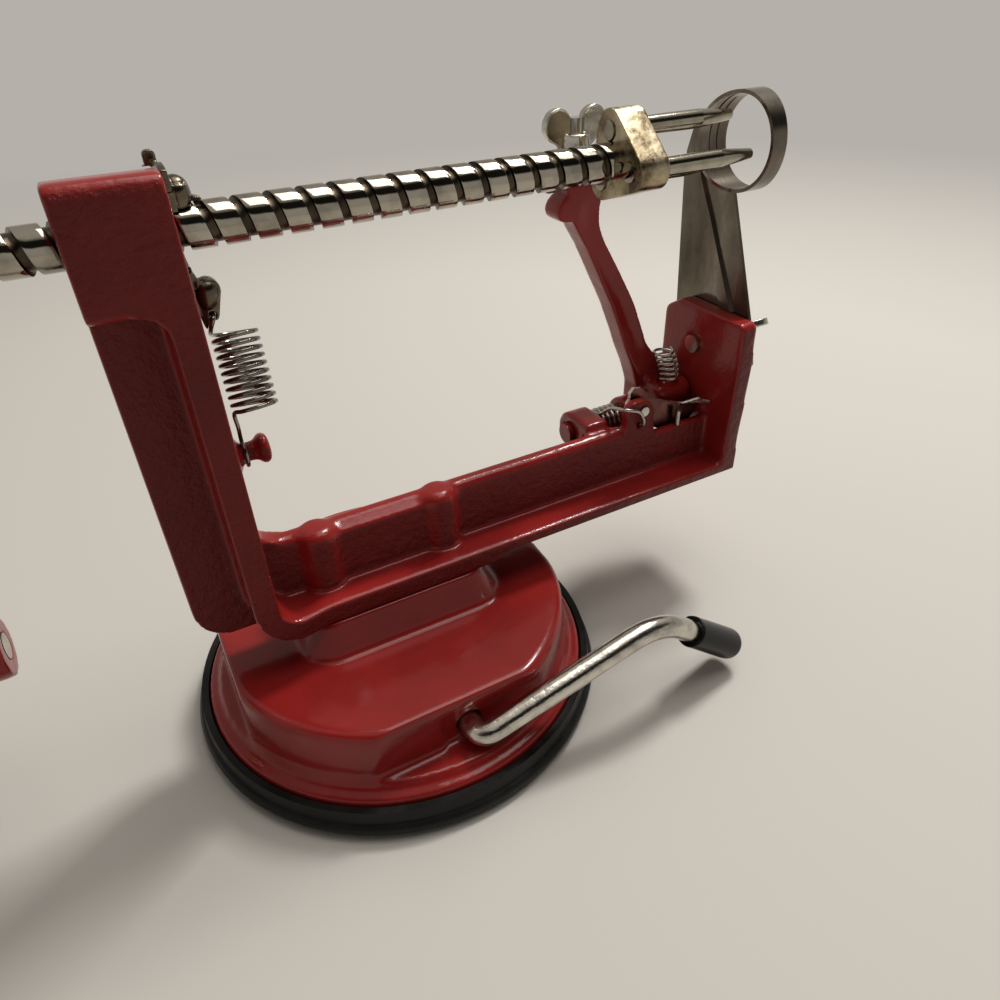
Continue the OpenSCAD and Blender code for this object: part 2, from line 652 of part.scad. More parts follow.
module feed_latch() {
    tab_z = block_z1 - 2.4;
    color(steel) difference() {
        union() {
            slab_x(plate_x0, plate_x1) latch_outline();
            // Saddle over the shaft, with its tooth
            slab_x(plate_x0, tooth_x + 1.3) intersection() {
                translate([0, shaft_z]) difference() {
                    circle(r = 9.2);
                    circle(r = shaft_r + gap);
                }
                translate([-3.4, shaft_z + 2.4]) square([8.4, 10]);
            }
            translate([tooth_x - 0.35, -0.8, shaft_z + shaft_r - groove_deep + 0.2]) cube([0.7, 1.6, 1.8]);
            // Tail with its drop-shaped end, which takes the spring's hook
            translate([plate_x0, tail_y - 1, tail_z - 3]) cube([plate_t, 7, 6]);
            slab_y(tail_y - 1, tail_y + 1) tail_outline();
            // Thumb tab bent over the post's top
            translate([post_x1 - 1.8, 7, tab_z]) cube([1.8 + gap + plate_t, 1.7, 1.6]);
            slab_x(plate_x0, plate_x1) polygon([[3, shaft_z + 8], [8.7, shaft_z + 6],
                [8.7, tab_z + 1.6], [7, tab_z + 1.6]]);
            slab_y(7, 8.7) round_rect(post_x1 - 1.8, tab_z, plate_x1, tab_z + 5, [0.2, 0.2, 1.6, 1.6]);
        }
        translate([0, latch_py, latch_pz]) rod_x(plate_x0 - 1, plate_x1 + 1, latch_pin_d + 2 * run_fit);
        translate([eyelet_x, 0, eyelet_z]) rod_y(tail_y - 3, tail_y + 3, latch_wire + 0.7);
    }
}

// Drop-shaped end of the pawl's tail
module tail_outline() {
    translate([tail_x, tail_z]) circle(r = 2.9);
    polygon([[tail_x - 2.8, tail_z - 0.8], [tail_x + 2.6, tail_z - 1.3], [eyelet_x + 1.5, eyelet_z - 0.6],
             [eyelet_x + 0.8, eyelet_z - 1.5], [eyelet_x - 0.8, eyelet_z - 1.5], [eyelet_x - 1.5, eyelet_z - 0.6]]);
}

module latch_screw() {
    color(plated) translate([0, latch_py, latch_pz]) {
        rod_x(post_x1 - 7, plate_x1 + 0.3, latch_pin_d);
        rod_x(plate_x1 + 0.3, plate_x1 + 2.3, 7.6);
    }
}

latch_top = eyelet_z - 2;
latch_side_x = coil_x - latch_coil_r;
latch_path = let (pitch = latch_coil_len / latch_turns, n = 8, y = (tail_y + stud_y) / 2,
        front = tail_y - 1 - latch_wire / 2 - 0.25, loop1 = 2.2 + latch_wire / 2 + 0.25)
    concat([[eyelet_x, tail_y + 1.6, eyelet_z], [eyelet_x, tail_y - 0.6, eyelet_z],
            [eyelet_x, front + 0.2, eyelet_z - 0.25], [eyelet_x - 0.2, front, eyelet_z - 1]],
        [for (i = [0:latch_turns * n]) let (a = 180 + 360 * i / n)
            [coil_x + latch_coil_r * cos(a), y + latch_coil_r * sin(a), latch_top - pitch * i / n]],
        [[latch_side_x, y + 0.2, latch_top - latch_coil_len - 1.6]],
        [for (i = [0:6]) let (a = 100 - 40 * i)
            [latch_side_x, stud_y + loop1 * cos(a), stud_z + loop1 * sin(a)]]);

module latch_spring() {
    echo(latch_spring_gap = self_gap(latch_path, latch_wire, 7));
    color(steel) tube(latch_path, latch_wire, function(t) abs(t[0]) > 0.95 ? [0, 0, 1] : [1, 0, 0.001]);
}

// Slicing blade

module blade_outline() {
    difference() {
        polygon([[-8.6, bolt_z - 8], [-12, bolt_z - 1.4], [-9.9, upright_z - 2.6], [-8.7, upright_z - 1],
                 [4.4, shaft_z - ring_r - 1.6], [ring_r - 1, shaft_z + 4], [22, shaft_z + 2.4], [23.4, shaft_z],
                 [25.2, shaft_z - 6], [25.4, shaft_z - 12], [22.6, upright_z - 4], [20, bolt_z - 8]]);
        translate([0, shaft_z]) circle(r = ring_r - blade_t / 2);
        translate([bolt_y, bolt_z]) circle(d = bolt_d + blade_clear);
    }
}

// Pleat pressed into the blade, from the upright's top to below the ring
module blade_pleat() {
    a = [-2.6, upright_z + 1.8];
    b = [18.6, shaft_z - 11];
    translate([blade_x0, a[0], a[1]]) rotate([atan2(b[1] - a[1], b[0] - a[0]), 0, 0])
        slab_y(0, norm(b - a)) polygon([[0.1, -2.2], [-1.1, 0], [0.1, 2.2]]);
}

module corer_blade() {
    color(steel) {
        slab_x(blade_x0, blade_x0 + blade_t) blade_outline();
        blade_pleat();
        translate([0, 0, shaft_z]) difference() {
            rod_x(ring_x0, blade_x0 + blade_t, ring_r * 2);
            rod_x(ring_x0 - 1, blade_x0 + blade_t + 1, (ring_r - blade_t) * 2);
        }
    }
}

module blade_bolt() {
    color(plated) translate([0, bolt_y, bolt_z]) {
        rod_x(upright_x - 1, blade_x0 + blade_t + 8, bolt_d);
        rod_x(upright_x - 1.2, upright_x - 0.02, 5.4);
    }
}

// Wing nut with its foot at the origin and its bore along Z
module wing_nut(bore, reach) {
    difference() {
        union() {
            cylinder(d1 = 9, d2 = 7.4, h = 5);
            for (s = [-1, 1]) {
                translate([s * (reach - 4), 1, 7]) rotate([90, 0, 0]) cylinder(r = 4, h = 2);
                translate([0, 1, 0]) rotate([90, 0, 0]) linear_extrude(2)
                    polygon([[s * 2.5, 0.8], [s * 4, 1], [s * reach, 6], [s * (reach - 5), 10.5], [s * 3.4, 5]]);
            }
        }
        translate([0, 0, -1]) cylinder(d = bore + 2 * run_fit, h = 14);
    }
}

module blade_wing_nut() {
    color(plated) translate([blade_x0 + blade_t + gap, bolt_y, bolt_z]) rotate([0, 90, 0]) rotate([0, 0, 58])
        wing_nut(bolt_d, wing_r[0]);
}

// Peeler arm

module arm_outline() {
    polygon(concat([[arm_foot_x[0], pivot_z], [arm_foot_x[0], arm_foot_z]], arm_left,
        arc(arm_nose, arm_nose_r, 270, 90, 6), [arm_shoulder, [arm_head_x[0], head_z], [arm_head_x[1], head_z]],
        arm_right, [[arm_foot_x[1], arm_foot_z], [arm_foot_x[1], pivot_z]]));
}

module peeler_arm() {
    color(paint) difference() {
        union() {
            slab_y(arm_front, arm_front + arm_t) arm_outline();
            translate([0, pivot_y, pivot_z]) rod_x(boss_x0, boss_x1, boss_r * 2);
            // Foot that carries the bumper spring
            slab_x(95.4, boss_x1) round_rect(pivot_y - 6, pivot_z, arm_front + 2, pivot_z + 9.4, [1, 1, 0.5, 3.4]);
            translate([bumper_x, bumper_y, pivot_z + 8]) cylinder(d = 3, h = 4);
        }
        translate([0, pivot_y, pivot_z]) rod_x(boss_x0 - 1, boss_x1 + 1, pivot_d + 2 * run_fit);
        translate([stud_x, arm_front + arm_t / 2, head_z - stud_in - 1]) cylinder(d = stud_d, h = stud_in + 2);
    }
}

module blade_stud() {
    color(plated) translate([stud_x, arm_front + arm_t / 2, head_z - stud_in])
        cylinder(d = stud_d, h = stud_in + stud_out);
}

module peeler_blade() {
    y = arm_front + arm_t / 2;
    color(steel) difference() {
        union() {
            translate([stud_x - 10, y - 3, head_z]) cube([16, 6, 1]);
            translate([stud_x - 10, arm_front - 0.2, head_z - 6]) cube([4, 1.2, 7]);
            translate([stud_x - 10, arm_front - 0.2, head_z]) cube([4, 4, 1]);
        }
        translate([stud_x, y, head_z - 1]) cylinder(d = stud_d + blade_clear, h = 4);
    }
}

module arm_wing_nut() {
    color(plated) translate([stud_x, arm_front + arm_t / 2, head_z + 1 + gap]) rotate([0, 0, 4])
        wing_nut(stud_d, wing_r[1]);
}

module arm_pivot_rod() {
    color(steel) translate([0, pivot_y, pivot_z]) rod_x(rod_x0, upright_x + 2.9, pivot_d);
}

arm_path = let (n = 8, turns = 4.5, r = pivot_d / 2 + arm_wire / 2 + 0.8, x0 = lug_x1 + arm_wire / 2 + 0.7,
        x1 = boss_x0 - arm_wire / 2 - 0.9, front = web_y0 - arm_wire / 2 - 0.5,
        under = pivot_z - boss_r - arm_wire / 2 - 0.25)
    concat([[eye_x, web_y0 + 2, eye_z], [eye_x, web_y0 - 0.2, eye_z], [eye_x, front, eye_z + 0.9],
            [eye_x - 0.3, front - 0.3, eye_z + 2.6], [eye_x - 2.4, front - 0.4, eye_z + 5.8],
            [x0 + 1, front + 1, eye_z + 6.8], [x0 + 0.3, web_y1, eye_z + 5],
            [x0, pivot_y - 3.4, pivot_z + r + 0.8]],
        [for (i = [0:turns * n]) let (a = 90 - 360 * i / n)
            [x0 + (x1 - x0) * i / (turns * n), pivot_y + r * cos(a), pivot_z + r * sin(a)]],
        [[x1 + 0.8, pivot_y - 1.8, under + 0.7], [x1 + 2.2, pivot_y - 2.2, under], [x1 + 9, pivot_y - 2.2, under]]);

module arm_spring() {
    echo(arm_spring_gap = self_gap(arm_path, arm_wire, 6));
    color(steel) tube(arm_path, arm_wire, function(t) abs(t[0]) > 0.9 ? [0, 0, 1] : [1, 0, 0.001]);
}

bumper_x = 101;
bumper_y = pivot_y - 2.4;
bumper_path = let (n = 8, turns = 6, r = 3.1, z0 = pivot_z + 9.4 + bumper_wire / 2 + 0.1, z1 = pivot_z + 20.4)
    [for (i = [0:turns * n]) let (a = 360 * i / n, u = i / (turns * n))
        [bumper_x - 3.4 * u * u + r * cos(a), bumper_y + r * sin(a), z0 + (z1 - z0) * u]];

module bumper_spring() {
    echo(bumper_spring_gap = self_gap(bumper_path, bumper_wire, 6));
    color(steel) tube(bumper_path, bumper_wire, function(t) [0, 0, 1]);
}

// Trigger that holds the arm back

module trigger_outline() {
    x = upright_x - trigger_end[0];
    polygon(concat(trigger_top, [[x, trigger_end[1]], [x, trigger_end[2]]], trigger_low));
}

module arm_trigger() {
    color(plated) difference() {
        slab_y(trigger_y0, trigger_y0 + trigger_t) trigger_outline();
        translate([trigger_x, 0, trigger_z]) rod_y(web_y0, trigger_y0 + trigger_t + 1, rivet_d + 2 * run_fit);
    }
}

module trigger_rivet() {
    color(plated) translate([trigger_x, 0, trigger_z]) {
        rod_y(web_y0 - 0.5, trigger_y0 + trigger_t + 0.3, rivet_d);
        rod_y(trigger_y0 + trigger_t + 0.3, trigger_y0 + trigger_t + 1.3, 5.4);
    }
}

module stop_pin() {
    color(plated) translate([stop_x, stop_y, rim_low - stop_in]) cylinder(d = stop_d, h = stop_len);
}

main_frame();
base_housing();
suction_ring();
cup_diaphragm();
plunger();
frame_screws();
lever_rod();
lever_tip();
drive_shaft();
fork_hub();
fork_prongs();
stop_washer();
crank_arm();
crank_nut();
knob_spindle();
crank_knob();
feed_latch();
latch_screw();
latch_spring();
corer_blade();
blade_bolt();
blade_wing_nut();
peeler_arm();
peeler_blade();
blade_stud();
arm_wing_nut();
arm_pivot_rod();
arm_spring();
bumper_spring();
arm_trigger();
trigger_rivet();
stop_pin();
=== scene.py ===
"""Looks of a hand-cranked apple peeler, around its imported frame. Forms are written in mm."""
import json
import math

import bmesh
import bpy
import numpy as np
from mathutils import Matrix, Vector, noise as field


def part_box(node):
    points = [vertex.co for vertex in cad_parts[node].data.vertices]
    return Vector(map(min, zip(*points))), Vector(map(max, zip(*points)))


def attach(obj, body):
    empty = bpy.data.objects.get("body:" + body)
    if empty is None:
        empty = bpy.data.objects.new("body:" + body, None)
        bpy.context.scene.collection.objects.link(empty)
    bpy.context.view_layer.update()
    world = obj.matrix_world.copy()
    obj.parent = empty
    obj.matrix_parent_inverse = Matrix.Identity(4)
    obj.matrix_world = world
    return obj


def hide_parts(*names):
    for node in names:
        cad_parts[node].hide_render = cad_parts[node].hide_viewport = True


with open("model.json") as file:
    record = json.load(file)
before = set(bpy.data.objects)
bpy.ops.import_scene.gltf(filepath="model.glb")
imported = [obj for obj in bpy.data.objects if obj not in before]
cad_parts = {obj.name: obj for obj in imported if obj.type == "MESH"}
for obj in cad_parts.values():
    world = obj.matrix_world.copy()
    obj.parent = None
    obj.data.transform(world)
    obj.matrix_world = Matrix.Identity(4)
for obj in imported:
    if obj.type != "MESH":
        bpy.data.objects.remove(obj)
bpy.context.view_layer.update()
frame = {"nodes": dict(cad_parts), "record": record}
nodes = frame["nodes"]
MM = 0.001

# Sizes shared with the CAD, in mm
SHAFT_Z = 132.5
SHAFT_R = 4.3
LEAD = 6.35
GROOVE_W = 1.8
GROOVE_DEEP = 0.9
TOOTH_X = -25.8
STUD = np.array((-29.0, -4.0, 85.4))
RING_R = 12.1
BLADE_T = 0.9
PIVOT_Y = 11
PIVOT_Z = 54.6
WEB_FRONT = 2.8
LEVER_X = 3
LEVER_Y = -48.05
LEVER_Z = 16
LEVER_R = 3.15

# Colours
CRIMSON = (0.225, 0.013, 0.012)
CRIMSON_DEEP = (0.185, 0.011, 0.010)
CRIMSON_BRIGHT = (0.26, 0.015, 0.013)
PALE = (0.46, 0.436, 0.402)
WARM = (1.0, 0.985, 0.95)

# Enamel on edges and on flat panels, whose colour is darkened as painted shade
ENAMEL_ROUGH = 0.24
ENAMEL_COAT = 0.38
PANEL_ROUGH = 0.36
PANEL_COAT = 0.2
# Painted shade: how far the panels' colour is darkened
PANEL_PAINTED_SHADE = 0.56


# Shader nodes

def link(tree, a, b):
    tree.links.new(a, b)


def material(name, color, metallic=0.0, rough=0.4, coat=0.0, coat_rough=0.08):
    m = bpy.data.materials.new(name)
    m.use_nodes = True
    b = m.node_tree.nodes["Principled BSDF"]
    b.inputs["Base Color"].default_value = (*color, 1)
    b.inputs["Metallic"].default_value = metallic
    b.inputs["Roughness"].default_value = rough
    b.inputs["Coat Weight"].default_value = coat
    b.inputs["Coat Roughness"].default_value = coat_rough
    b.inputs["Specular IOR Level"].default_value = 0.15 if coat else 0.5
    return m, m.node_tree, b


def coords(tree):
    return tree.nodes.new("ShaderNodeTexCoord").outputs["Object"]


def noise(tree, scale, detail=4.0, rough=0.55, stretch=None):
    n = tree.nodes.new("ShaderNodeTexNoise")
    n.inputs["Scale"].default_value = scale
    n.inputs["Detail"].default_value = detail
    n.inputs["Roughness"].default_value = rough
    source = coords(tree)
    if stretch:
        mapping = tree.nodes.new("ShaderNodeMapping")
        mapping.inputs["Scale"].default_value = stretch
        link(tree, source, mapping.inputs["Vector"])
        source = mapping.outputs["Vector"]
    link(tree, source, n.inputs["Vector"])
    return n.outputs["Fac"]


def ramp(tree, fac, stops):
    """Colour by position along a list of stops."""
    r = tree.nodes.new("ShaderNodeValToRGB")
    e = r.color_ramp.elements
    while len(e) < len(stops):
        e.new(0.5)
    for el, (pos, col) in zip(e, stops):
        el.position = pos
        el.color = (*col, 1)
    link(tree, fac, r.inputs["Fac"])
    return r.outputs["Color"]


def span(tree, fac, lo, hi, a, b):
    """Carries the range lo to hi over to a to b."""
    n = tree.nodes.new("ShaderNodeMapRange")
    n.inputs["From Min"].default_value = lo
    n.inputs["From Max"].default_value = hi
    n.inputs["To Min"].default_value = a
    n.inputs["To Max"].default_value = b
    link(tree, fac, n.inputs["Value"])
    return n.outputs["Result"]


def math_node(tree, operation, *values):
    n = tree.nodes.new("ShaderNodeMath")
    n.operation = operation
    for socket, value in zip(n.inputs, values):
        link(tree, value, socket)
    return n.outputs["Value"]


def bump(tree, bsdf, heights, coat=False):
    """Stacks bumps, each a height, its distance in metres and its strength."""
    normal = None
    for fac, dist, strength in heights:
        n = tree.nodes.new("ShaderNodeBump")
        n.inputs["Distance"].default_value = dist
        if isinstance(strength, (int, float)):
            n.inputs["Strength"].default_value = strength
        else:
            link(tree, strength, n.inputs["Strength"])
        link(tree, fac, n.inputs["Height"])
        if normal is not None:
            link(tree, normal, n.inputs["Normal"])
        normal = n.outputs["Normal"]
    link(tree, normal, bsdf.inputs["Normal"])
    if coat:
        link(tree, normal, bsdf.inputs["Coat Normal"])


def panel_mask(tree):
    """1 on faces that look to the front or back, 0 on the others."""
    normal = tree.nodes.new("ShaderNodeNewGeometry").outputs["Normal"]
    split = tree.nodes.new("ShaderNodeSeparateXYZ")
    link(tree, normal, split.inputs["Vector"])
    return span(tree, math_node(tree, "ABSOLUTE", split.outputs["Y"]), 0.75, 0.97, 0.0, 1.0)


# Materials

def red_paint(name, cast, panels=0.0):
    """Glossy crimson enamel over a casting, rougher on its flat panels, where its colour is also darkened
    as painted shade.
    """
    m, t, b = material(name, CRIMSON, 0.0, ENAMEL_ROUGH, ENAMEL_COAT, 0.04)
    tone = ramp(t, noise(t, 45, 3), [(0.3, CRIMSON_DEEP), (0.7, CRIMSON_BRIGHT)])
    peel = noise(t, 420, 2, 0.4)
    grain = noise(t, 520, 5, 0.65)
    lumps = noise(t, 110, 3, 0.5)
    strength = 0.12 * cast
    if panels:
        mask = panel_mask(t)
        strength = span(t, mask, 0, 1, strength, panels)
        # Painted shade: faces that look to the front or back are darkened
        painted_shade = t.nodes.new("ShaderNodeHueSaturation")
        link(t, span(t, mask, 0, 1, 1.0, PANEL_PAINTED_SHADE), painted_shade.inputs["Value"])
        link(t, tone, painted_shade.inputs["Color"])
        tone = painted_shade.outputs["Color"]
        link(t, span(t, mask, 0, 1, ENAMEL_ROUGH, PANEL_ROUGH), b.inputs["Roughness"])
        link(t, span(t, mask, 0, 1, ENAMEL_COAT, PANEL_COAT), b.inputs["Coat Weight"])
    link(t, tone, b.inputs["Base Color"])
    heights = [(lumps, 0.0008, 0.35 * cast), (grain, 0.001, strength), (peel, 0.0002, 0.14)]
    bump(t, b, heights, coat=True)
    return m


def metal(name, color=(0.66, 0.63, 0.57), rough=0.2, brush=None, pits=0.0):
    """Plated or bare metal with dull patches, fine brushing and pits."""
    m, t, b = material(name, color, 1.0, rough)
    fine = noise(t, 900, 3, 0.6, brush)
    patch = noise(t, 130, 4, 0.6)
    dull = tuple(c * 0.62 for c in color)
    link(t, ramp(t, patch, [(0.36, dull), (0.56, color)]), b.inputs["Base Color"])
    link(t, span(t, patch, 0.3, 0.7, rough * 1.5, rough * 0.7), b.inputs["Roughness"])
    heights = [(fine, 0.00012, 0.12), (patch, 0.0003, 0.08)]
    if pits:
        heights.append((noise(t, 330, 5, 0.7), 0.0005, pits))
    bump(t, b, heights)
    return m


def yellow_plate():
    """Yellow plating with dark worn stains."""
    m, t, b = material("yellow_plate", (0.5, 0.4, 0.25), 1.0, 0.36)
    patch = noise(t, 105, 6, 0.6)
    stops = [(0.38, (0.09, 0.065, 0.04)), (0.5, (0.33, 0.265, 0.165)), (0.64, (0.60, 0.52, 0.37))]
    link(t, ramp(t, patch, stops), b.inputs["Base Color"])
    pits = noise(t, 420, 6, 0.65)
    link(t, span(t, pits, 0.3, 0.7, 0.18, 0.4), b.inputs["Roughness"])
    bump(t, b, [(patch, 0.0005, 0.14), (pits, 0.0004, 0.22)])
    return m


def blade_steel():
    """Stained sheet steel, brushed along the blade."""
    m, t, b = material("blade_steel", (0.4, 0.38, 0.35), 0.95, 0.34)
    stain = noise(t, 48, 6, 0.62, (1, 1, 0.5))
    stops = [(0.3, (0.075, 0.058, 0.042)), (0.5, (0.17, 0.145, 0.115)), (0.68, (0.36, 0.325, 0.275))]
    link(t, ramp(t, stain, stops), b.inputs["Base Color"])
    brushed = noise(t, 700, 4, 0.6, (1, 1, 0.08))
    link(t, span(t, stain, 0.35, 0.65, 0.26, 0.12), b.inputs["Roughness"])
    bump(t, b, [(brushed, 0.0002, 0.1)])
    return m


def soft_black(name, color, rough, grain):
    """Black rubber or vinyl with a little dust."""
    m, t, b = material(name, color, 0.0, rough)
    b.inputs["Specular IOR Level"].default_value = 0.18
    fine = noise(t, 800, 3, 0.5)
    dust = noise(t, 140, 5, 0.6)
    dusty = tuple(c * 2.1 for c in color)
    link(t, ramp(t, dust, [(0.42, color), (0.74, dusty)]), b.inputs["Base Color"])
    link(t, span(t, dust, 0.3, 0.7, rough * 0.8, rough * 1.25), b.inputs["Roughness"])
    bump(t, b, [(fine, 0.0002, grain)])
    return m


RED_FRAME = red_paint("red_frame", 1.0, 0.75)
RED_BASE = red_paint("red_base", 0.3)
RED_ARM = red_paint("red_arm", 0.7)
NICKEL = metal("nickel")
SHAFT = metal("shaft_plate", (0.42, 0.385, 0.32), 0.08, (1, 0.15, 0.15))
# Dark steel for the groove floors: painted shade in the grooves
GROOVE_PAINTED_SHADE = metal("groove_painted_shade", (0.075, 0.06, 0.042), 0.3)
PRONG = metal("prong_steel", (0.40, 0.365, 0.29), 0.13, (0.15, 1, 1))
LEVER = metal("lever_plate", (0.68, 0.64, 0.57), 0.15, None, 0.3)
STEEL = metal("spring_steel", (0.50, 0.47, 0.42), 0.2)
COIL_STEEL = metal("coil_steel", (0.25, 0.23, 0.20), 0.13)
DARK_STEEL = metal("dark_steel", (0.085, 0.075, 0.065), 0.22)
LATCH = metal("latch_steel", (0.15, 0.125, 0.09), 0.2)
# Dark red steel for the catch's faces: painted reflection of the red paint
CATCH_PAINTED_REFLECTION = metal("catch_painted_reflection", (0.15, 0.062, 0.054), 0.26)
# Brighter steel for the catch's edges: painted highlight
CATCH_LIT_EDGE = metal("catch_lit_edge", (0.80, 0.77, 0.70), 0.3)
YELLOW = yellow_plate()
BLADE = blade_steel()
RUBBER = soft_black("rubber", (0.005, 0.005, 0.0047), 0.36, 0.2)
VINYL = soft_black("vinyl", (0.004, 0.004, 0.0045), 0.2, 0.05)

FINISH = {
    "main_frame": RED_FRAME, "base_housing": RED_BASE, "peeler_arm": RED_ARM, "crank_arm": RED_ARM,
    "suction_ring": RUBBER, "cup_diaphragm": RUBBER, "lever_tip": VINYL, "crank_knob": VINYL,
    "drive_shaft": SHAFT, "fork_hub": YELLOW, "fork_prongs": PRONG, "lever_rod": LEVER,
    "corer_blade": BLADE, "peeler_blade": DARK_STEEL, "feed_latch": LATCH, "latch_spring": COIL_STEEL,
    "arm_spring": STEEL, "bumper_spring": STEEL, "frame_screws": STEEL, "plunger": STEEL,
    "arm_pivot_rod": RED_ARM, "arm_trigger": CATCH_PAINTED_REFLECTION, "stop_pin": STEEL,
}
BODY = {n: b for b, ns in frame["record"]["behaviour"]["bodies"].items() for n in ns}


# Mesh helpers

def paint(obj, mat):
    obj.data.materials.clear()
    obj.data.materials.append(mat)


def edit(obj, change):
    """Runs a change on the object's mesh as a bmesh."""
    bm = bmesh.new()
    bm.from_mesh(obj.data)
    change(bm)
    bm.to_mesh(obj.data)
    bm.free()


def weld(obj, dist):
    edit(obj, lambda bm: bmesh.ops.remove_doubles(bm, verts=bm.verts, dist=dist))


def smooth_all(obj):
    obj.data.polygons.foreach_set("use_smooth", [True] * len(obj.data.polygons))


def shade(obj, angle=32):
    """Smooth shading that keeps edges sharper than the angle."""
    def mark(bm):
        for e in bm.edges:
            e.smooth = not (len(e.link_faces) == 2 and e.calc_face_angle(0) > math.radians(angle))
    smooth_all(obj)
    edit(obj, mark)


def adopt(obj, node):
    """The piece stands for a CAD node and takes its finish."""
    paint(obj, FINISH.get(node, NICKEL))
    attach(obj, BODY[node])
    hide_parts(node)
    return obj


def mesh_object(name, verts, faces):
    mesh = bpy.data.meshes.new(name)
    mesh.from_pydata([tuple(v) for v in verts], [], [tuple(f) for f in faces])
    mesh.update()
    obj = bpy.data.objects.new(name, mesh)
    bpy.context.scene.collection.objects.link(obj)
    return obj


def copy_of(node, name):
    obj = nodes[node].copy()
    obj.data = nodes[node].data.copy()
    obj.parent = None
    obj.matrix_world = Matrix.Identity(4)
    obj.name = name
    for key in [k for k in obj.keys() if k.startswith("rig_")]:
        del obj[key]
    bpy.context.scene.collection.objects.link(obj)
    weld(obj, 1e-6)
    return obj


def bake(obj):
    """Applies the object's modifiers."""
    graph = bpy.context.evaluated_depsgraph_get()
    mesh = bpy.data.meshes.new_from_object(obj.evaluated_get(graph))
    obj.modifiers.clear()
    obj.data = mesh


def points(obj, what="co"):
    out = np.empty(len(obj.data.vertices) * 3)
    obj.data.vertices.foreach_get(what, out)
    return out.reshape(-1, 3)


def move(obj, where):
    obj.data.vertices.foreach_set("co", where.ravel())
    obj.data.update()


def step(value, lo, hi):
    """Smooth 0 to 1 over a range."""
    u = np.clip((value - lo) / (hi - lo), 0, 1)
    return u * u * (3 - 2 * u)


def roughen(obj, height, size, panels):
    """Cast skin: moves points along their normals, on panels only where asked."""
    co, normal = points(obj), points(obj, "normal")
    amount = np.clip((abs(normal[:, 1]) - 0.8) * 5, 0, 1) if panels else np.ones(len(co))
    for i in np.nonzero(amount)[0]:
        p = Vector(co[i]) / (size * MM)
        co[i] += normal[i] * height * MM * amount[i] * (field.noise(p) + 0.6 * field.noise(p * 2.3))
    move(obj, co)


def cast_copy(node, voxel, rounds, rough=0.0, size=3.0, panels=False, form=None):
    """Copy of a node with softened edges, a form of its own and a cast skin."""
    obj = copy_of(node, node + "_cast")
    remesh = obj.modifiers.new("cast", "REMESH")
    remesh.mode = "VOXEL"
    remesh.voxel_size = voxel * MM
    smooth = obj.modifiers.new("soften", "SMOOTH")
    smooth.factor = 0.5
    smooth.iterations = rounds
    bake(obj)
    if form:
        move(obj, form(points(obj) / MM) * MM)
    if rough:
        roughen(obj, rough, size, panels)
    smooth_all(obj)
    return adopt(obj, node)


def soften(obj, chosen, rounds):
    """Rounds off one area more than the rest."""
    group = obj.vertex_groups.new(name="soft")
    group.add([int(i) for i in np.nonzero(chosen)[0]], 1.0, "REPLACE")
    smooth = obj.modifiers.new("soft", "SMOOTH")
    smooth.factor = 0.5
    smooth.iterations = rounds
    smooth.vertex_group = group.name
    bake(obj)
    obj.vertex_groups.clear()


def sweep(name, path, radius, sides=16):
    """Tube along a path in mm, its sides carried along without twist."""
    p = np.array(path, float)
    radius = np.broadcast_to(radius, len(p))
    t = np.gradient(p, axis=0)
    t /= np.linalg.norm(t, axis=1)[:, None]
    side = np.cross(t[0], [0.31, 0.53, 0.79])
    side /= np.linalg.norm(side)
    verts = []
    for i in range(len(p)):
        side = side - t[i] * (side @ t[i])
        side /= np.linalg.norm(side)
        up = np.cross(t[i], side)
        for j in range(sides):
            a = 2 * math.pi * j / sides
            verts.append((p[i] + radius[i] * (side * math.cos(a) + up * math.sin(a))) * MM)
    faces = []
    for row in range(0, (len(p) - 1) * sides, sides):
        for j in range(sides):
            k = (j + 1) % sides
            faces.append((row + j, row + k, row + sides + k, row + sides + j))
    faces.append(tuple(reversed(range(sides))))
    faces.append(tuple((len(p) - 1) * sides + j for j in range(sides)))
    obj = mesh_object(name, verts, faces)
    shade(obj, 50)
    return obj


def spline(through, per=5):
    """Smooth path through points."""
    p = np.array(through, float)
    q = np.vstack([2 * p[0] - p[1], p, 2 * p[-1] - p[-2]])
    out = []
    for i in range(1, len(q) - 2):
        a, b, c, d = q[i - 1:i + 3]
        for k in range(per):
            u = k / per
            out.append(0.5 * (2 * b + (c - a) * u + (2 * a - 5 * b + 4 * c - d) * u ** 2
                              + (3 * b - a - 3 * c + d) * u ** 3))
    out.append(p[-1])
    return np.array(out)


def bend(a, b, c, radius, steps=14):
    """Rounded corner at b, on the way from a to c."""
    a, b, c = (np.array(v, float) for v in (a, b, c))
    u = (a - b) / np.linalg.norm(a - b)
    w = (c - b) / np.linalg.norm(c - b)
    back = radius / math.tan(math.acos(u @ w) / 2)
    return [(b + u * back * (1 - k)) * (1 - k) + (b + w * back * k) * k for k in np.linspace(0, 1, steps)]


def join(target, others):
    """Adds other objects' meshes to one object."""
    bm = bmesh.new()
    for o in [target, *others]:
        bm.from_mesh(o.data)
    bm.to_mesh(target.data)
    bm.free()
    for o in others:
        bpy.data.objects.remove(o)
    return target


# Frame: thin flange, soft columns and a broad root on the spring's stud
FLANGE_PULL = 1.6
FLANGE_LIFT = 2.3
ROOT_X = -32.4
ROOT_LEN = 2.9
ROOT_NECK = 2.35
ROOT_FLARE = 5.5


def thin_flange(p):
    """The flange's free edge is thinner than its root, and stands back with the upright's foot."""
    x, y, z = p.T
    near = step(-y, 5, 13)
    edge = near * step(x, -28, -18) * (1 - step(z, 43, 44) * (1 - step(x, 100, 106)))
    thin = near * step(x, 26, 33) * step(41.8 - z, 0.5, 5.5)
    p[:, 2] = z + FLANGE_LIFT * thin
    p[:, 1] = y + FLANGE_PULL * edge * (1 - step(z, 46, 76))
    return p


